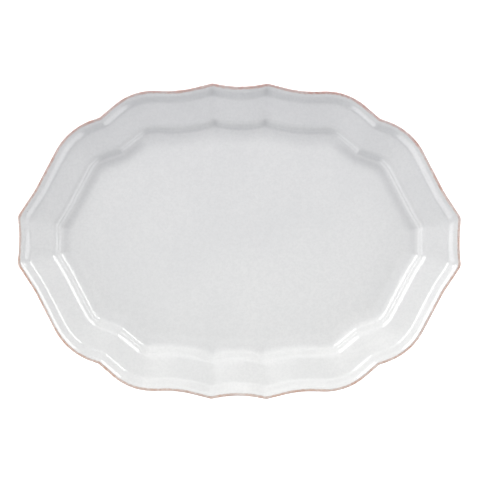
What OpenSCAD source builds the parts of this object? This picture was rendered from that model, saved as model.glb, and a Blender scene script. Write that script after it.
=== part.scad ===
// Oval serving platter in glazed stoneware, with a scalloped rim and a raised foot ring.
// Millimetres, +Z up, +X along the length. The origin is on the table, under the middle.

/* [Overall size] */
// Length of the platter along X
length = 406; // [380:2:440]
// Width of the platter along Y
width = 289; // [275:1:310]
// Height of the rim's crest above the table
height = 34; // [33:0.5:36]

/* [Section] */
// Steepness of the turned-up lip, in degrees
lip_angle = 38; // [36:1:41]
// Steepness of the wall between the flange and the well, in degrees
wall_angle = 38; // [36:1:42]
// Thickness of the rim, glaze included
rim_thickness = 6; // [5:0.5:6.5]
// Thickness of the well's floor above the foot ring
floor_thickness = 6.5; // [6:0.5:7]
// Thickness of each glaze coat
glaze = 0.5; // [0.4:0.1:0.8]

/* [Foot] */
// Height of the foot ring under the floor
foot_height = 6; // [5.5:0.5:6.5]
// Width of the foot ring's wall
foot_width = 6; // [5:0.5:8]

/* [Hidden] */

CLAY = [0.72, 0.50, 0.40];
EDGE = [0.70, 0.50, 0.42];
WHITE = [0.87, 0.88, 0.88];

// ---- Outline: lines joined by arcs, given for the quarter with X and Y above zero ----

// Size at which the corners below are stated; other sizes stretch them.
base_length = 406;
base_width = 289;
stretch = [length / base_length, width / base_width];

// Depth at which the well's corners are stated, measured inwards from the outer edge.
well_depth = 39;

// Corners in order from the end to the side:
// dip, cusp, hollow, bulge, notch, bulge, hollow, cusp, dip.
outer_corner = [
    [201, 0], [203.1, 22.2], [187.3, 46], [158, 102.5], [128.5, 112.8],
    [99, 138], [55.5, 137], [25.2, 144.6], [0, 139.6]
];
well_corner = [
    [164.2, 0], [165, 12.2], [156.3, 26.4], [132.4, 72], [108.4, 80.9],
    [85.4, 99.6], [51.3, 98.6], [23.1, 105.7], [0, 100.4]
];
// Radius of each corner's arc, and the number of points on it.
outer_radius = [165, 8, 100, 60, 5, 56, 105, 6, 105];
well_radius = [150, 2, 140, 20, 3, 16, 130, 5, 90];
// Half-way across the flange the cusps and notches are rounder, and their neighbours tighter.
flange_radius = [-80, 12, -30, 0, 10, 0, -20, 13, -45];
arc_points = [4, 3, 3, 7, 3, 7, 3, 3, 4];

last = len(outer_corner) - 1;
// Each corner of the whole outline, anticlockwise, as [index into the quarter, sign of x, sign of y].
turns = concat(
    [for (i = [0:last]) [i, 1, 1]],
    [for (i = [last - 1:-1:0]) [i, -1, 1]],
    [for (i = [1:last]) [i, -1, -1]],
    [for (i = [last - 1:-1:1]) [i, 1, -1]]
);

// A corner and its radius at a depth, on the straight line from outer edge to well.
function blend(a, b, depth) = a + (b - a) * depth / well_depth;
function corner(t, depth) =
    let (p = blend(outer_corner[t[0]], well_corner[t[0]], depth))
    [p[0] * stretch[0] * t[1], p[1] * stretch[1] * t[2]];
function corner_radius(t, depth) =
    max(1.5, blend(outer_radius[t[0]], well_radius[t[0]], depth))
    + flange_radius[t[0]] * sin(180 * min(depth / well_depth, 1));

function unit(v) = v / norm(v);
function cross2(a, b) = a[0] * b[1] - a[1] * b[0];

// Points on the arc that rounds corner b of the line a-b-c, each with its normal.
// The normal is to the right of the line.
function arc(a, b, c, radius, count) =
    let (
        u = unit(b - a),
        v = unit(c - b),
        side = cross2(u, v) < 0 ? -1 : 1,
        turn = acos(u * v),
        tangent = radius * tan(turn / 2),
        start = b - u * tangent,
        centre = start + side * radius * [-u[1], u[0]]
    )
    [for (k = [0:count - 1])
        let (
            a = side * turn * (count == 1 ? 0.5 : k / (count - 1)),
            right = [u[1] * cos(a) + u[0] * sin(a), u[1] * sin(a) - u[0] * cos(a)]
        )
        [centre + side * radius * right, right]];

// The closed outline at a depth.
function outline(depth) =
    let (n = len(turns))
    [for (i = [0:n - 1])
        let (t = turns[i])
        let (before = corner(turns[(i + n - 1) % n], depth))
        let (after = corner(turns[(i + 1) % n], depth))
        for (p = arc(before, corner(t, depth), after, corner_radius(t, depth), arc_points[t[0]]))
            p[0]];

// ---- Section: [depth from the outer edge, height], lines joined by arcs ----

crest_angle = 19;       // slope at the crest, just inside the outermost edge
lip_crown = 4.5;        // depth of the corner between crest and lip
lip_foot = 10.8;        // depth of the crease between lip and flange
wall_top = 32.4;        // depth of the corner between flange and wall
wall_foot = 38.6;       // depth of the corner between the wall and the gentler slope below it
skirt = 47.4;           // depth at which the floor levels out
skirt_angle = 21;
nose_radius = 1.1;
nose_height = 5;        // height of the outermost edge, from crest to underside

floor_level = foot_height + floor_thickness;
skirt_level = floor_level + (skirt - wall_foot) * tan(skirt_angle);
wall_level = skirt_level + (wall_foot - wall_top) * tan(wall_angle);
// The nose is rounded, so its corner lies above the crest.
nose_level = height + nose_radius * (tan(45 + crest_angle / 2) - 1);
crown_level = nose_level - lip_crown * tan(crest_angle);
lip_level = crown_level - (lip_foot - lip_crown) * tan(lip_angle);

// Corners of the upper surface from the outermost edge inwards, with radius and number of points.
face = [
    [[0, height - nose_height], 0, 0],
    [[0, nose_level], nose_radius, 4],
    [[lip_crown, crown_level], 16, 4],
    [[lip_foot, lip_level], 10, 3],
    [[wall_top, wall_level], 16, 3],
    [[wall_foot, skirt_level], 9, 3],
    [[skirt, floor_level], 34, 4],
    [[skirt + 10, floor_level], 0, 0]
];

// The underside runs parallel to the flange and the wall, down to the foot.
function shifted(a, b, c, distance) =
    let (u = unit(b - a), v = unit(c - b), between = unit([u[1] + v[1], -u[0] - v[0]]))
    b + between * distance / (between * [u[1], -u[0]]);
under_lip = shifted(face[2][0], face[3][0], face[4][0], rim_thickness);
under_wall = shifted(face[3][0], face[4][0], face[5][0], rim_thickness);
foot_run = (under_wall[1] - foot_height) / tan(wall_angle);
foot_joint = [under_wall[0] + foot_run, foot_height];

underside = [
    [[0, height], 0, 0],
    [[0, height - nose_height], 3, 3],
    [under_lip, 8, 2],
    [under_wall, 10, 2],
    [foot_joint, 0, 0]
];

function path(rows) =
    [for (i = [1:len(rows) - 2])
        for (p = arc(rows[i - 1][0], rows[i][0], rows[i + 1][0], rows[i][1], rows[i][2])) p];

// Both surfaces start at the outermost edge. Normals point into the body on the face
// and out of it on the underside.
face_path = path(face);
under_path = path(underside);

// Moves a surface into the body by the glaze's thickness.
function face_at(coat) = [for (p = face_path) p[0] + p[1] * coat];
function under_at(coat) =
    concat([for (p = under_path) p[0] - p[1] * coat], [foot_joint + [coat / sin(wall_angle), 0]]);

edge_face_points = 4;   // points of the face that the coloured edge covers
edge_under_points = 3;  // points of the underside that it covers

// Points first to last of a list, and a list turned round.
function part(list, first, last) = [for (i = [first:last]) list[i]];
function reversed(list) = [for (i = [len(list) - 1:-1:0]) list[i]];

face_end = len(face_path) - 1;
under_end = len(under_path);

// ---- Solids ----

ring_size = len(outline(0));

// One outline for each point of a section.
function rings(section) = [for (p = section) for (q = outline(p[0])) [q[0], q[1], p[1]]];

// Triangles between successive outlines, joining the last to the first where closed.
function bands(count, closed) =
    [for (i = [0:(closed ? count - 1 : count - 2)])
        for (j = [0:ring_size - 1])
            let (
                a = i * ring_size + j,
                b = i * ring_size + (j + 1) % ring_size,
                c = ((i + 1) % count) * ring_size + (j + 1) % ring_size,
                d = ((i + 1) % count) * ring_size + j
            )
            for (triangle = [[a, b, c], [a, c, d]]) triangle];

// A solid like a tyre. The section is a loop that runs outwards along its top.
module loop_solid(section) {
    polyhedron(points = rings(section), faces = bands(len(section), true));
}

// A solid like a dish. The section runs from its level top over the edge to its level underside.
module dish_solid(section) {
    count = len(section);
    low = (count - 1) * ring_size;
    middle = count * ring_size;
    top = [for (j = [0:ring_size - 1]) [middle, (j + 1) % ring_size, j]];
    base = [for (j = [0:ring_size - 1]) [middle + 1, low + j, low + (j + 1) % ring_size]];
    polyhedron(
        points = concat(rings(section), [[0, 0, section[0][1]], [0, 0, section[count - 1][1]]]),
        faces = concat(top, bands(count, false), base)
    );
}

// ---- Sub-parts ----

// The fired clay from rim to rim, without its foot and its coats.
module clay_body() {
    color(CLAY) dish_solid(concat(reversed(face_at(glaze)), under_at(glaze)));
}

// The ring it stands on, left bare. Its outer face carries on from the coat above it.
module foot_ring() {
    color(CLAY) linear_extrude(foot_height) difference() {
        polygon(outline(foot_joint[0] + glaze / sin(wall_angle)));
        polygon(outline(foot_joint[0] + foot_width));
    }
}

// The terracotta-coloured line round the edge.
module edge_band() {
    outside = concat(
        reversed(part(face_at(0), 0, edge_face_points - 1)),
        part(under_at(0), 0, edge_under_points - 1)
    );
    inside = concat(
        reversed(part(face_at(glaze), 0, edge_face_points - 1)),
        part(under_at(glaze), 0, edge_under_points - 1)
    );
    color(EDGE) loop_solid(concat(outside, reversed(inside)));
}

// The coat on the flange, the wall and the well's floor.
module face_glaze() {
    outside = part(face_at(0), edge_face_points - 1, face_end);
    inside = part(face_at(glaze), edge_face_points - 1, face_end);
    color(WHITE) dish_solid(concat(reversed(outside), inside));
}

// The coat from the edge line down to the foot ring.
module underside_glaze() {
    outside = part(under_at(0), edge_under_points - 1, under_end);
    inside = part(under_at(glaze), edge_under_points - 1, under_end);
    color(WHITE) loop_solid(concat(outside, reversed(inside)));
}

// The coat inside the foot ring.
module recess_glaze() {
    color(WHITE) translate([0, 0, foot_height - glaze])
        linear_extrude(glaze) polygon(outline(foot_joint[0] + foot_width));
}

clay_body();
foot_ring();
edge_band();
face_glaze();
underside_glaze();
recess_glaze();
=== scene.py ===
import math

import bpy
import numpy as np
from mathutils import Matrix, Vector, noise


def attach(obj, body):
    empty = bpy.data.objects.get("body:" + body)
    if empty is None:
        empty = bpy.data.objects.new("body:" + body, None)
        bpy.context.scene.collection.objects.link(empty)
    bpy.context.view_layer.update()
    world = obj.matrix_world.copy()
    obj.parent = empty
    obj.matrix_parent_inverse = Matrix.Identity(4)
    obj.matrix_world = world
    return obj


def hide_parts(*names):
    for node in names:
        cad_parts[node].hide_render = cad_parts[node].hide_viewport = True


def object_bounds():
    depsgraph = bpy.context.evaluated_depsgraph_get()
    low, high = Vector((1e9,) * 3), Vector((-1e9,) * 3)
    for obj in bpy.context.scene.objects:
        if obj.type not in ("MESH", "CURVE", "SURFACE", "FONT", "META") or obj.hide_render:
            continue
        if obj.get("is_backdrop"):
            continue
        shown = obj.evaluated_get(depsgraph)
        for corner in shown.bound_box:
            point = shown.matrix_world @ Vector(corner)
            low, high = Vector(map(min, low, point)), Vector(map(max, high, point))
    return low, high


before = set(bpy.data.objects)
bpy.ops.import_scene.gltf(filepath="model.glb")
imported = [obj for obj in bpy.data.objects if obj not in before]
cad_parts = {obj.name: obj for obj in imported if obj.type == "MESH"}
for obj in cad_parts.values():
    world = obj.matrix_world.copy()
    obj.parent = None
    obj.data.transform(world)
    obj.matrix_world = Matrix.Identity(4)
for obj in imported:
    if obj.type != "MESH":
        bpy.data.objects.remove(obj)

CAD_LOW, CAD_HIGH = (list(map(float, corner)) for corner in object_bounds())
MM = 0.001

# ---------------------------------------------------------------- outline
# Quarter of the outline in millimetres, as lines joined by arcs, at the outer
# edge and at the edge of the well. The CAD model is built from the same corners.
WELL_DEPTH = 39.0
OUTER_CORNER = [(201, 0), (203.1, 22.2), (187.3, 46), (158, 102.5), (128.5, 112.8),
                (99, 138), (55.5, 137), (25.2, 144.6), (0, 139.6)]
WELL_CORNER = [(164.2, 0), (165, 12.2), (156.3, 26.4), (132.4, 72), (108.4, 80.9),
               (85.4, 99.6), (51.3, 98.6), (23.1, 105.7), (0, 100.4)]
OUTER_RADIUS = [165, 8, 100, 60, 5, 56, 105, 6, 105]
WELL_RADIUS = [150, 2, 140, 20, 3, 16, 130, 5, 90]
# The creases at the cusps and notches soften half-way across the flange.
CREASE_SOFTENING = [-80, 12, -30, 0, 10, 0, -20, 13, -45]
ARC_STEPS = [10, 8, 6, 22, 8, 22, 8, 8, 10]
LINE_STEPS = [2, 6, 8, 3, 5, 3, 5, 2]
SMALLEST_RADIUS = 1.2
CUSPS = (1, 7)


def corners(depth):
    """Corners and radii of the whole outline at a depth, anticlockwise."""
    t = depth / WELL_DEPTH
    outer, well = np.array(OUTER_CORNER, float), np.array(WELL_CORNER, float)
    p = outer + (well - outer) * t
    r = np.array(OUTER_RADIUS, float) * (1 - t) + np.array(WELL_RADIUS, float) * t
    r = np.maximum(SMALLEST_RADIUS, r)
    r = r + np.array(CREASE_SOFTENING, float) * max(0.0, math.sin(math.pi * min(t, 1.0)))
    n = len(p)
    order = ([(i, 1, 1) for i in range(n)] + [(i, -1, 1) for i in range(n - 2, -1, -1)]
             + [(i, -1, -1) for i in range(1, n)] + [(i, 1, -1) for i in range(n - 2, 0, -1)])
    return [(p[i] * (sx, sy), r[i], i) for i, sx, sy in order]


def fillet(a, b, c, radius, steps):
    """Points and right-hand normals on the arc that rounds corner b of a-b-c."""
    u, v = (b - a) / np.linalg.norm(b - a), (c - b) / np.linalg.norm(c - b)
    side = -1.0 if u[0] * v[1] - u[1] * v[0] < 0 else 1.0
    turn = math.acos(max(-1.0, min(1.0, float(u @ v))))
    centre = b - u * radius * math.tan(turn / 2) + side * radius * np.array((-u[1], u[0]))
    out = []
    for k in range(steps + 1):
        angle = side * turn * k / steps
        ca, sa = math.cos(angle), math.sin(angle)
        right = np.array((u[1] * ca + u[0] * sa, u[1] * sa - u[0] * ca))
        out.append((centre + side * radius * right, right))
    return out


def outline(depth):
    """Closed outline at a depth, with the same number of points at every depth."""
    ring = corners(depth)
    n = len(ring)
    arcs = [fillet(ring[i - 1][0], p, ring[(i + 1) % n][0], radius, ARC_STEPS[corner])
            for i, (p, radius, corner) in enumerate(ring)]
    points = []
    for i in range(n):
        points += [p for p, _ in arcs[i]]
        start, end = arcs[i][-1][0], arcs[(i + 1) % n][0][0]
        steps = LINE_STEPS[min(ring[i][2], ring[(i + 1) % n][2])]
        points += [start + (end - start) * k / steps for k in range(1, steps)]
    return np.array(points)


# ---------------------------------------------------------------- section
# Millimetres, with depths measured inwards from the outer edge.
HEIGHT = 34.0
FOOT_HEIGHT = 6.0
FLOOR = 12.5
RIM_THICKNESS = 6.0
FOOT_WIDTH = 6.0
COAT = 0.5
CREST_ANGLE, LIP_ANGLE, WALL_ANGLE, SKIRT_ANGLE = (math.radians(v) for v in (19, 38, 38, 21))
LIP_CROWN, LIP_FOOT, WALL_TOP, WALL_FOOT, SKIRT = 4.5, 10.8, 32.4, 38.6, 47.4
NOSE_HEIGHT = 5.0
NOSE_RADIUS = 1.1

skirt_level = FLOOR + (SKIRT - WALL_FOOT) * math.tan(SKIRT_ANGLE)
wall_level = skirt_level + (WALL_FOOT - WALL_TOP) * math.tan(WALL_ANGLE)
nose_level = HEIGHT + NOSE_RADIUS * (math.tan(math.pi / 4 + CREST_ANGLE / 2) - 1)
crown_level = nose_level - LIP_CROWN * math.tan(CREST_ANGLE)
lip_level = crown_level - (LIP_FOOT - LIP_CROWN) * math.tan(LIP_ANGLE)

# Corner (depth, height), radius and steps of the arc.
FACE = [((0, HEIGHT - NOSE_HEIGHT), 0, 0),
        ((0, nose_level), NOSE_RADIUS, 8),
        ((LIP_CROWN, crown_level), 16, 10),
        ((LIP_FOOT, lip_level), 10, 8),
        ((WALL_TOP, wall_level), 16, 9),
        ((WALL_FOOT, skirt_level), 9, 9),
        ((SKIRT, FLOOR), 34, 10),
        ((SKIRT + 12, FLOOR), 0, 0)]
FACE_LINE_STEPS = [1, 1, 4, 10, 3, 1, 2]


def shifted(a, b, c, distance):
    """Corner b of the line a-b-c once both its sides have moved by a distance."""
    u, v = (b - a) / np.linalg.norm(b - a), (c - b) / np.linalg.norm(c - b)
    between = np.array((u[1] + v[1], -u[0] - v[0]))
    return b + between * distance / (between @ np.array((u[1], -u[0])))


face_corner = [np.array(row[0], float) for row in FACE]
under_lip = shifted(face_corner[2], face_corner[3], face_corner[4], RIM_THICKNESS)
under_wall = shifted(face_corner[3], face_corner[4], face_corner[5], RIM_THICKNESS)
foot_joint = np.array((under_wall[0] + (under_wall[1] - FOOT_HEIGHT) / math.tan(WALL_ANGLE),
                       FOOT_HEIGHT))
UNDER = [((0, HEIGHT), 0, 0),
         ((0, HEIGHT - NOSE_HEIGHT), 3, 8),
         (tuple(under_lip), 8, 6),
         (tuple(under_wall), 10, 8),
         (tuple(foot_joint), 0, 0)]
UNDER_LINE_STEPS = [1, 4, 9, 4]
FOOT_LINE_STEPS = 5


def path(rows, line_steps):
    """Points and normals along a section of lines and arcs."""
    p = [np.array(row[0], float) for row in rows]
    arcs = [[(p[0], None)]] + [fillet(p[i - 1], p[i], p[i + 1], rows[i][1], rows[i][2])
                               for i in range(1, len(rows) - 1)] + [[(p[-1], None)]]
    out = []
    for i in range(1, len(rows) - 1):
        if i > 1:
            start, end, normal = arcs[i - 1][-1][0], arcs[i][0][0], arcs[i][0][1]
            out += [(start + (end - start) * k / line_steps[i - 1], normal)
                    for k in range(1, line_steps[i - 1])]
        out += arcs[i]
    return out


face_path = path(FACE, FACE_LINE_STEPS)
under_path = path(UNDER, UNDER_LINE_STEPS)
# The wall's underside runs straight down to the foot.
down, wall_normal = under_path[-1]
under_path += [(down + (foot_joint - down) * k / FOOT_LINE_STEPS, wall_normal)
               for k in range(1, FOOT_LINE_STEPS + 1)]


def face_at(coat):
    """The upper surface, a coat's thickness into the body."""
    return [p + n * coat for p, n in face_path]


def under_at(coat):
    """The underside, a coat's thickness into the body, ending at the foot's joint."""
    line = [p - n * coat for p, n in under_path]
    line[-1] = foot_joint + np.array((coat / math.sin(WALL_ANGLE), 0))
    return line


# ---------------------------------------------------------------- hand-made unevenness
# Height and length of the slow and the quicker waves.
SLOW_WAVE, QUICK_WAVE = (0.16, 62.0), (0.07, 23.0)
QUICK_OFFSET = Vector((7, 3, 1))
SIDE_OFFSET = (311, -97)
SIDE_SHARE = 0.6      # sideways waves, as a share of the upright ones
SIDE_SHRINK = 0.16    # keeps the waves from passing the outer edge
SIDE_FULL = 100.0     # distance from the middle at which the sideways waves are full
CREST_FADE = 3.0      # height under the crest over which the upright waves fade
CREST_LEAST = 0.15


def swell(x, y, z):
    """Slow waves of the surface, in millimetres, as clay takes in drying and firing."""
    p = Vector((x, y, z))
    return (SLOW_WAVE[0] * noise.noise(p / SLOW_WAVE[1])
            + QUICK_WAVE[0] * noise.noise(p / QUICK_WAVE[1] + QUICK_OFFSET))


def warped(points):
    """Applies the unevenness to points in millimetres and returns metres."""
    out = []
    for x, y, z in points:
        # The waves fade towards the table and the crest, so that the height stays as it is.
        fade = min(1.0, z / FLOOR) * min(1.0, (HEIGHT - z) / CREST_FADE + CREST_LEAST)
        lift = swell(x, y, z) * fade
        side = swell(y + SIDE_OFFSET[0], x + SIDE_OFFSET[1], z)
        r = math.hypot(x, y) + 1e-6
        inward = SIDE_SHARE * side * min(1.0, r / SIDE_FULL) - SIDE_SHRINK
        out.append(((x + x / r * inward) * MM, (y + y / r * inward) * MM, (z + lift) * MM))
    return out


# ---------------------------------------------------------------- meshes
CREASE_WIDTH = 5.5
CAP_SCALES = (0.97, 0.92, 0.84, 0.72, 0.56, 0.38, 0.2, 0.06)
CAP_DEPTH, CENTRE_DEPTH = 100.0, 200.0


def crease(ring, depth):
    """How close each point of an outline is to a cusp: one at it, nothing CREASE_WIDTH away."""
    cusps = np.array([p for p, _, i in corners(depth) if i in CUSPS])
    away = np.linalg.norm(ring[:, None] - cusps[None], axis=2).min(axis=1)
    return np.maximum(0.0, 1.0 - away / CREASE_WIDTH)


def cap(ring, z, depth):
    """Level rings that shrink towards the middle."""
    return [(ring * s, z, depth + (1 - s) * CAP_DEPTH) for s in CAP_SCALES]


def build(name, section, closed, creased=False):
    """Lofts a section of (depth, height) round the outline. An open section is closed by
    level caps. Each point keeps its depth and, where asked, how close it is to a cusp."""
    verts, faces, depth_of, crease_of = [], [], [], []
    rings = [(outline(d), z, d) for d, z in section]
    size = len(rings[0][0])
    if not closed:
        rings = cap(*rings[0])[::-1] + rings + cap(*rings[-1])
    for ring, z, d in rings:
        verts += [(x, y, z) for x, y in ring]
        depth_of += [d] * size
        crease_of += list(crease(ring, d)) if creased and d < SKIRT else [0.0] * size
    count = len(rings)
    for i in range(count if closed else count - 1):
        for j in range(size):
            here, there, beside = i * size, (i + 1) % count * size, (j + 1) % size
            faces.append((here + j, there + j, there + beside, here + beside))
    if not closed:
        for start, z, first in ((0, rings[0][1], True), ((count - 1) * size, rings[-1][1], False)):
            middle = len(verts)
            verts.append((0.0, 0.0, z))
            depth_of.append(CENTRE_DEPTH)
            crease_of.append(0.0)
            for j in range(size):
                a, b = start + j, start + (j + 1) % size
                faces.append((middle, a, b) if first else (middle, b, a))
    mesh = bpy.data.meshes.new(name)
    mesh.from_pydata(warped(verts), [], faces)
    mesh.validate()
    for label, values in (("depth", depth_of), ("crease", crease_of)):
        mesh.attributes.new(label, "FLOAT", "POINT").data.foreach_set("value", values)
    mesh.polygons.foreach_set("use_smooth", [True] * len(mesh.polygons))
    mesh.update()
    obj = bpy.data.objects.new(name, mesh)
    bpy.context.collection.objects.link(obj)
    return obj


# How deep the coloured edge reaches on the face and on the underside.
EDGE_ON_FACE, EDGE_ON_UNDERSIDE = 1.49, 1.1
edge_face = next(i for i, (p, _) in enumerate(face_path) if p[0] >= EDGE_ON_FACE)
edge_under = next(i for i, (p, _) in enumerate(under_path) if p[0] >= EDGE_ON_UNDERSIDE)
face0, face1, under0, under1 = face_at(0), face_at(COAT), under_at(0), under_at(COAT)

body = build("clay_body_fine", face1[::-1] + under1, False)
face = build("face_glaze_fine", face0[:edge_face - 1:-1] + face1[edge_face:], False, True)
band = build("edge_band_fine", face0[edge_face::-1] + under0[:edge_under + 1]
             + under1[edge_under::-1] + face1[:edge_face + 1], True)
under = build("underside_glaze_fine", under0[edge_under:] + under1[:edge_under - 1:-1], True)

FOOT_ROUND, FOOT_ROUND_STEPS = 1.1, 6
FOOT_MIDDLE = 3.5     # height of the extra ring half-way up the foot
FOOT_INSET = 1.0      # distance of the extra rings on the foot's top
outer, inner = foot_joint[0] + COAT / math.sin(WALL_ANGLE), foot_joint[0] + FOOT_WIDTH


def rounded(depth, sign, start):
    """A quarter circle round a lower corner of the foot ring."""
    steps = [k / FOOT_ROUND_STEPS for k in range(FOOT_ROUND_STEPS + 1)]
    angles = [math.radians(start * (1 - t) + (90 - start) * t) for t in steps]
    return [(depth + sign * FOOT_ROUND * (1 - math.cos(a)), FOOT_ROUND * (1 - math.sin(a)))
            for a in angles]


foot_section = ([(inner - FOOT_INSET, FOOT_HEIGHT), (outer + FOOT_INSET, FOOT_HEIGHT),
                 (outer, FOOT_HEIGHT), (outer, FOOT_MIDDLE)]
                + rounded(outer, 1, 0) + [((outer + inner) / 2, 0)] + rounded(inner, -1, 90)
                + [(inner, FOOT_MIDDLE), (inner, FOOT_HEIGHT)])
foot = build("foot_ring_fine", foot_section, True)
recess = build("recess_glaze_fine", [(inner, FOOT_HEIGHT), (inner, FOOT_HEIGHT - COAT)], False)

PIECES = {body: ("clay_body", "clay"), foot: ("foot_ring", "clay"), band: ("edge_band", "edge"),
          face: ("face_glaze", "glaze"), under: ("underside_glaze", "glaze"),
          recess: ("recess_glaze", "glaze")}


# ---------------------------------------------------------------- materials
class Nodes:
    """A few helpers for building a node material."""

    def __init__(self, name):
        self.material = bpy.data.materials.new(name)
        self.material.use_nodes = True
        self.tree = self.material.node_tree
        self.tree.nodes.clear()
        self.out = self.add("ShaderNodeOutputMaterial")
        self.shader = self.add("ShaderNodeBsdfPrincipled")
        self.link(self.shader.outputs[0], self.out.inputs[0])
        self.place = self.add("ShaderNodeTexCoord").outputs["Object"]

    def add(self, kind, **values):
        node = self.tree.nodes.new(kind)
        for key, value in values.items():
            setattr(node, key, value)
        return node

    def link(self, a, b):
        self.tree.links.new(a, b)

    def put(self, socket, value):
        if isinstance(value, bpy.types.NodeSocket):
            self.link(value, socket)
        else:
            socket.default_value = value

    def noise(self, scale, detail=2.0, rough=0.5, offset=(0, 0, 0)):
        move = self.add("ShaderNodeVectorMath", operation="ADD")
        self.link(self.place, move.inputs[0])
        move.inputs[1].default_value = offset
        node = self.add("ShaderNodeTexNoise")
        self.link(move.outputs[0], node.inputs["Vector"])
        node.inputs["Scale"].default_value = scale
        node.inputs["Detail"].default_value = detail
        node.inputs["Roughness"].default_value = rough
        return node.outputs[0]

    def spots(self, scale):
        """Distance to the nearest of scattered points, and that point's random colour."""
        node = self.add("ShaderNodeTexVoronoi", feature="F1")
        self.link(self.place, node.inputs["Vector"])
        node.inputs["Scale"].default_value = scale
        return node.outputs["Distance"], node.outputs["Color"]

    def parts(self, kind, value):
        """The outputs of a node that separates its one input."""
        node = self.add(kind)
        self.link(value, node.inputs[0])
        return node.outputs

    def math(self, operation, a, b=0.0):
        node = self.add("ShaderNodeMath", operation=operation)
        self.put(node.inputs[0], a)
        self.put(node.inputs[1], b)
        return node.outputs[0]

    def times(self, *values):
        """The product of two or more values."""
        total = values[0]
        for value in values[1:]:
            total = self.math("MULTIPLY", total, value)
        return total

    def ramp(self, value, low, high, out_low=0.0, out_high=1.0, smooth=True):
        """Goes from out_low to out_high as the value goes from low to high."""
        kind = "SMOOTHSTEP" if smooth else "LINEAR"
        node = self.add("ShaderNodeMapRange", interpolation_type=kind)
        self.put(node.inputs["Value"], value)
        ends = {"From Min": low, "From Max": high, "To Min": out_low, "To Max": out_high}
        for key, number in ends.items():
            self.put(node.inputs[key], number)
        return node.outputs[0]

    def wander(self, amount, scale, detail, rough):
        """Noise about zero."""
        return self.times(self.math("SUBTRACT", self.noise(scale, detail, rough), 0.5), amount)

    def tinted(self, colour, factor):
        node = self.add("ShaderNodeVectorMath", operation="MULTIPLY")
        self.put(node.inputs[0], colour)
        node.inputs[1].default_value = factor
        return node.outputs[0]

    def band(self, value, start, full, fade, end):
        """One between full and fade, falling to nothing at start and end."""
        return self.times(self.ramp(value, start, full), self.ramp(value, fade, end, 1.0, 0.0))

    def mix(self, factor, a, b):
        node = self.add("ShaderNodeMix", data_type="RGBA")
        self.put(node.inputs[0], factor)
        self.put(node.inputs[6], a)
        self.put(node.inputs[7], b)
        return node.outputs[2]

    def bump(self, height, distance, strength=1.0, normal=None):
        node = self.add("ShaderNodeBump")
        self.put(node.inputs["Height"], height)
        node.inputs["Distance"].default_value = distance
        node.inputs["Strength"].default_value = strength
        if normal is not None:
            self.link(normal, node.inputs["Normal"])
        return node.outputs[0]


def rgb(r, g, b):
    return (r, g, b, 1.0)


# Colours are linear.
GLAZE_COOL, GLAZE_WARM = rgb(0.760, 0.757, 0.750), rgb(0.786, 0.781, 0.771)
GLAZE_MOTTLE, GLAZE_GRAIN = rgb(0.69, 0.690, 0.687), rgb(0.67, 0.668, 0.662)
CLAY_ORANGE, CLAY_PINK = rgb(0.61, 0.36, 0.25), rgb(0.60, 0.38, 0.29)
# The far clay colour is painted shade on the far side's edge.
CLAY_FAR_SHADE, CLAY_SPECK = rgb(0.57, 0.33, 0.29), rgb(0.33, 0.15, 0.09)
PINHOLE = rgb(0.18, 0.13, 0.10)
# Painted light and shade: the glaze is painted whiter towards -Y, the near side, and darker and
# cooler towards +Y, the far side.
NEAR_Y, FAR_Y = -0.15, 0.15
NEAR_PAINTED_LIGHT, FAR_PAINTED_SHADE = (1.080, 1.086, 1.083), (0.944, 0.946, 0.969)
# Painted shade at the wall's foot, painted light on the far lip and wall, and painted shade in the
# cusps' creases.
WALL_FOOT_SHADE_TINT, STEEP_PAINTED_LIGHT_TINT, CREASE_SHADE_TINT = (0.885, 0.885, 0.89), (1.045, 1.045, 1.04), (0.86, 0.86, 0.865)
# Depths, in millimetres, at which each of these starts, is full, starts to fade and ends.
SHADED_WALL_FOOT = (38.8, 42.0, 42.6, 50.5)
STEEP_LIP, STEEP_WALL = (2.5, 5.0, 9.0, 11.5), (30.5, 32.5, 36.0, 38.5)
TURNED_CREST, TURNED_WALL = (1.5, 2.6, 5.0, 6.5), (34.4, 35.4, 36.6, 37.6)
# Turning lines: radians to the millimetre, phase, height in metres, share on the crest.
TURNING_RATE, TURNING_PHASE, TURNING_HEIGHT, TURNING_ON_CREST = 3.0, 1.5, 0.00005, 0.5


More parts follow.
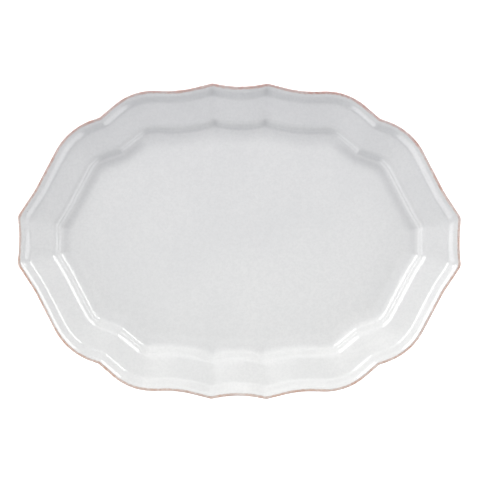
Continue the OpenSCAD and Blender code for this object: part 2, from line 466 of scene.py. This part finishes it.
def glaze_white(m, depth, y):
    """Broad warm and cool clouds with a fine mottle, then painted light and shade: lighter near and
    darker far, shade at the wall's foot and in the cusps' creases, light on the far lip and wall.
    """
    cloud = m.noise(14.0, 3.0, 0.55)
    fine = m.noise(160.0, 4.0, 0.6, offset=(3, 1, 2))
    grain = m.noise(430.0, 3.0, 0.7, offset=(1, 5, 8))
    white = m.mix(m.ramp(cloud, 0.35, 0.65), GLAZE_COOL, GLAZE_WARM)
    white = m.mix(m.ramp(fine, 0.3, 0.7, 0.0, 0.22), white, GLAZE_MOTTLE)
    white = m.mix(m.ramp(grain, 0.38, 0.66, 0.0, 0.34), white, GLAZE_GRAIN)
    # Painted light and shade: whiter on the near side, darker and cooler on the far side.
    white = m.mix(m.ramp(y, NEAR_Y, FAR_Y, smooth=False),
                  m.tinted(white, NEAR_PAINTED_LIGHT), m.tinted(white, FAR_PAINTED_SHADE))
    # Painted shade along the wall's foot, weaker on the near side and none along the far side's
    # wall.
    wall_foot_shade = m.times(m.band(depth, *SHADED_WALL_FOOT), m.ramp(y, -0.05, 0.035, 0.45, 1.0),
                   m.ramp(y, 0.084, 0.096, 1.0, 0.0))
    white = m.mix(wall_foot_shade, white, m.tinted(white, WALL_FOOT_SHADE_TINT))
    # Painted light: on the far side the lip and the wall are painted a little whiter.
    steep = m.math("ADD", m.band(depth, *STEEP_LIP), m.band(depth, *STEEP_WALL))
    white = m.mix(m.times(steep, m.ramp(y, 0.06, 0.10)), white, m.tinted(white, STEEP_PAINTED_LIGHT_TINT))
    # Painted shade in the cusps' creases on the far side, strongest on the lip and the wall.
    crease_at = m.add("ShaderNodeAttribute", attribute_name="crease").outputs["Fac"]
    crease_shade = m.times(crease_at, m.math("ADD", m.times(steep, 0.82), 0.18), m.ramp(y, 0.0, 0.09))
    return m.mix(crease_shade, white, m.tinted(white, CREASE_SHADE_TINT))


def edge_clay(m, y):
    """Terracotta that varies along the edge, painted darker towards the far side, speckled with
    iron.
    """
    clay = m.mix(m.ramp(m.noise(28.0, 2.0, 0.5, offset=(1, 8, 3)), 0.35, 0.65),
                 CLAY_ORANGE, CLAY_PINK)
    # Painted shade: the terracotta is darker and pinker towards the far side.
    clay = m.mix(m.ramp(y, -0.05, 0.12), clay, CLAY_FAR_SHADE)
    return m.mix(m.ramp(m.noise(900.0, 2.0, 0.5), 0.35, 0.7, 0.0, 0.35), clay, CLAY_SPECK)


def glazed(name):
    """Off-white glossy glaze, thin and worn through to terracotta along the edge."""
    m = Nodes(name)
    depth = m.add("ShaderNodeAttribute", attribute_name="depth").outputs["Fac"]
    y = m.parts("ShaderNodeSeparateXYZ", m.place)[1]
    # Pinholes, about one to the square decimetre.
    distance, pick = m.spots(62.0)
    rare = m.math("GREATER_THAN", m.parts("ShaderNodeSeparateColor", pick)[0], 0.975)
    pin = m.times(m.ramp(distance, 0.035, 0.07, 1.0, 0.0), rare)
    white = m.mix(m.times(pin, 0.75), glaze_white(m, depth, y), PINHOLE)
    # The glaze thins over the nose and breaks in patches; the terracotta reaching a little further
    # in on the far side is painted shade on the far crest.
    ragged = m.math("ADD", depth, m.wander(1.5, 70.0, 3.0, 0.6))
    ragged = m.math("ADD", ragged, m.wander(0.9, 420.0, 2.0, 0.6))
    ragged = m.math("SUBTRACT", ragged, m.ramp(y, -0.04, 0.12, 0.0, 0.45))
    thin = m.ramp(ragged, 1.7, 2.9, 1.0, 0.0)
    patch = m.times(m.ramp(m.noise(36.0, 3.0, 0.6, offset=(9, 4, 0)), 0.35, 0.68, 0.62, 0.92),
                    m.ramp(m.noise(260.0, 2.0, 0.5, offset=(2, 2, 6)), 0.35, 0.6, 0.68, 0.98))
    m.link(m.mix(m.times(thin, patch), white, edge_clay(m, y)), m.shader.inputs["Base Color"])
    gloss = m.ramp(m.noise(45.0, 3.0, 0.6), 0.3, 0.7, 0.07, 0.10)
    m.link(m.math("ADD", gloss, m.times(thin, 0.16)), m.shader.inputs["Roughness"])
    # Fine turning lines, left by the trimming tool on the crest and on the wall.
    turned = m.math("ADD", m.times(m.band(depth, *TURNED_CREST), TURNING_ON_CREST),
                    m.band(depth, *TURNED_WALL))
    along = m.math("ADD", depth, m.times(m.noise(9.0), 0.4))
    line = m.math("SINE", m.math("SUBTRACT", m.times(along, TURNING_RATE), TURNING_PHASE))
    bumps = m.bump(m.times(line, turned), TURNING_HEIGHT)
    # Then slow waves, the glaze's orange peel and the pinholes' dents.
    bumps = m.bump(m.noise(42.0, 2.0, 0.45), 0.0006, 0.5, bumps)
    bumps = m.bump(m.noise(330.0, 2.0, 0.5, offset=(5, 5, 5)), 0.00006, 0.5, bumps)
    bumps = m.bump(m.math("SUBTRACT", 1.0, pin), 0.0003, 0.8, bumps)
    m.link(bumps, m.shader.inputs["Normal"])
    m.shader.inputs["IOR"].default_value = 1.5
    return m.material


def bare_clay(name):
    """Unglazed stoneware: sandy, pinkish buff with darker grog."""
    m = Nodes(name)
    base = m.mix(m.ramp(m.noise(22.0, 3.0, 0.6), 0.35, 0.65),
                 rgb(0.52, 0.33, 0.235), rgb(0.60, 0.42, 0.31))
    base = m.mix(m.ramp(m.noise(480.0, 4.0, 0.65), 0.4, 0.7, 0.0, 0.5), base,
                 rgb(0.40, 0.235, 0.16))
    distance, _ = m.spots(900.0)
    base = m.mix(m.ramp(distance, 0.12, 0.3, 0.5, 0.0), base, rgb(0.74, 0.62, 0.50))
    m.link(base, m.shader.inputs["Base Color"])
    m.link(m.ramp(m.noise(120.0, 2.0, 0.5), 0.3, 0.7, 0.68, 0.86), m.shader.inputs["Roughness"])
    grain = m.bump(m.noise(1300.0, 3.0, 0.7), 0.00012, 0.7)
    m.link(m.bump(m.noise(260.0, 2.0, 0.6), 0.0003, 0.35, grain), m.shader.inputs["Normal"])
    return m.material


glaze_material = glazed("glaze_over_terracotta")
clay_material = bare_clay("bare_stoneware")

for piece, (node, slot) in PIECES.items():
    piece.data.materials.append(clay_material if slot == "clay" else glaze_material)
    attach(piece, "root")
    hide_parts(node)

# The fine pieces stay within the CAD model's box.
bpy.context.view_layer.update()
low, high = (Vector(corner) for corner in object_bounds())
scale = [min(CAD_HIGH[0] / high.x, CAD_LOW[0] / low.x),
         min(CAD_HIGH[1] / high.y, CAD_LOW[1] / low.y),
         CAD_HIGH[2] / high.z]
for piece in PIECES:
    piece.data.transform(Matrix.Diagonal((*scale, 1.0)))

# ---------------------------------------------------------------- stage
STUDIO_HALF, STUDIO_LEVEL = 3.0, -0.0002
floor_mesh = bpy.data.meshes.new("studio_floor")
floor_mesh.from_pydata([(x * STUDIO_HALF, y * STUDIO_HALF, STUDIO_LEVEL)
                        for x, y in ((-1, -1), (1, -1), (1, 1), (-1, 1))], [], [(0, 1, 2, 3)])
floor_object = bpy.data.objects.new("studio_floor", floor_mesh)
bpy.context.collection.objects.link(floor_object)
floor_nodes = Nodes("white_sweep")
floor_nodes.shader.inputs["Base Color"].default_value = rgb(0.8, 0.8, 0.8)
floor_nodes.shader.inputs["Roughness"].default_value = 0.9
floor_nodes.shader.inputs["Specular IOR Level"].default_value = 0.1
floor_nodes.shader.inputs["Emission Color"].default_value = rgb(1, 1, 1)
floor_nodes.shader.inputs["Emission Strength"].default_value = 0.7
floor_mesh.materials.append(floor_nodes.material)
floor_object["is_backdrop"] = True

# ---------------------------------------------------------------- light
bpy.context.scene.view_settings.view_transform = "Standard"
bpy.context.scene.view_settings.look = "None"
world = bpy.data.worlds.new("studio")
world.use_nodes = True
bpy.context.scene.world = world
SKY, HORIZON, FRONT = 0.075, 0.19, 0.21
SKY_COLOUR = rgb(0.84, 0.94, 1.13)


def studio_world(tree):
    """A soft tent: even above, brighter towards the horizon, most on the near side."""
    def calc(operation, a, b):
        node = tree.nodes.new("ShaderNodeMath")
        node.operation = operation
        for socket, value in zip(node.inputs, (a, b)):
            if isinstance(value, bpy.types.NodeSocket):
                tree.links.new(value, socket)
            else:
                socket.default_value = value
        return node.outputs[0]

    split = tree.nodes.new("ShaderNodeSeparateXYZ")
    tree.links.new(tree.nodes.new("ShaderNodeTexCoord").outputs["Generated"], split.inputs[0])
    y, z = split.outputs[1], calc("MAXIMUM", split.outputs[2], 0.0)
    low = calc("POWER", calc("SUBTRACT", 1.0, z), 3.0)
    glow = calc("SUBTRACT", HORIZON, calc("MULTIPLY", y, FRONT))
    total = calc("ADD", calc("MULTIPLY", low, glow), SKY)
    tree.links.new(total, tree.nodes["Background"].inputs[1])
    tree.nodes["Background"].inputs[0].default_value = SKY_COLOUR


studio_world(world.node_tree)


LIGHT_DISTANCE = 12.0
LIGHT_COLOUR = (1.0, 0.995, 0.985)
# Name, azimuth anticlockwise from +X, elevation, width and height as seen from the platter, all
# in degrees, and radiance. Two windows behind, the sky between them and low light at the front.
LIGHTS = [("window_right", 37, 41, 33, 21, 6.3),
          ("window_left", 144, 41, 31, 21, 6.2),
          ("sky_behind", 118, 41, 70, 36, 1.5),
          ("low_right", -29, 18, 62, 17, 3.5),
          ("low_left", 205, 18, 68, 17, 3.4)]


def softbox(name, azimuth, elevation, wide, tall, radiance):
    """A rectangular light aimed at the platter from LIGHT_DISTANCE away."""
    data = bpy.data.lights.new(name, "AREA")
    data.shape = "RECTANGLE"
    data.size = 2 * LIGHT_DISTANCE * math.tan(math.radians(wide / 2))
    data.size_y = 2 * LIGHT_DISTANCE * math.tan(math.radians(tall / 2))
    data.energy = radiance * math.pi * data.size * data.size_y
    data.color = LIGHT_COLOUR
    lamp = bpy.data.objects.new(name, data)
    a, e = math.radians(azimuth), math.radians(elevation)
    towards = Vector((math.cos(a) * math.cos(e), math.sin(a) * math.cos(e), math.sin(e)))
    lamp.location = towards * LIGHT_DISTANCE
    lamp.rotation_euler = (-towards).to_track_quat("-Z", "Y").to_euler()
    lamp.visible_camera = False
    bpy.context.collection.objects.link(lamp)


for light in LIGHTS:
    softbox(*light)

# ---------------------------------------------------------------- camera
# Straight down on the platter, turned very slightly. The pixels are those of the photograph:
# its side, the platter's length and the platter's centre.
PHOTO = 480.0
PLATTER_PIXELS = 443.7
CENTRE_X, CENTRE_Y = 239.3, 241.1
LENS, SENSOR, TURN = 100.0, 36.0, 0.23  # millimetres, millimetres and degrees
camera_data = bpy.data.cameras.new("camera")
camera = bpy.data.objects.new("camera", camera_data)
bpy.context.collection.objects.link(camera)
camera_data.lens, camera_data.sensor_width = LENS, SENSOR
rim = CAD_HIGH[2]
span = (CAD_HIGH[0] - CAD_LOW[0]) / PLATTER_PIXELS * PHOTO
distance = span / 2 / (SENSOR / 2 / LENS)
camera.location = (0, 0, rim + distance)
camera.rotation_euler = (0, 0, math.radians(TURN))
camera_data.shift_x = (PHOTO / 2 - CENTRE_X) / PHOTO
camera_data.shift_y = (CENTRE_Y - PHOTO / 2) / PHOTO
camera_data.clip_start, camera_data.clip_end = 0.05, 50
bpy.context.scene.camera = camera

bpy.context.view_layer.update()
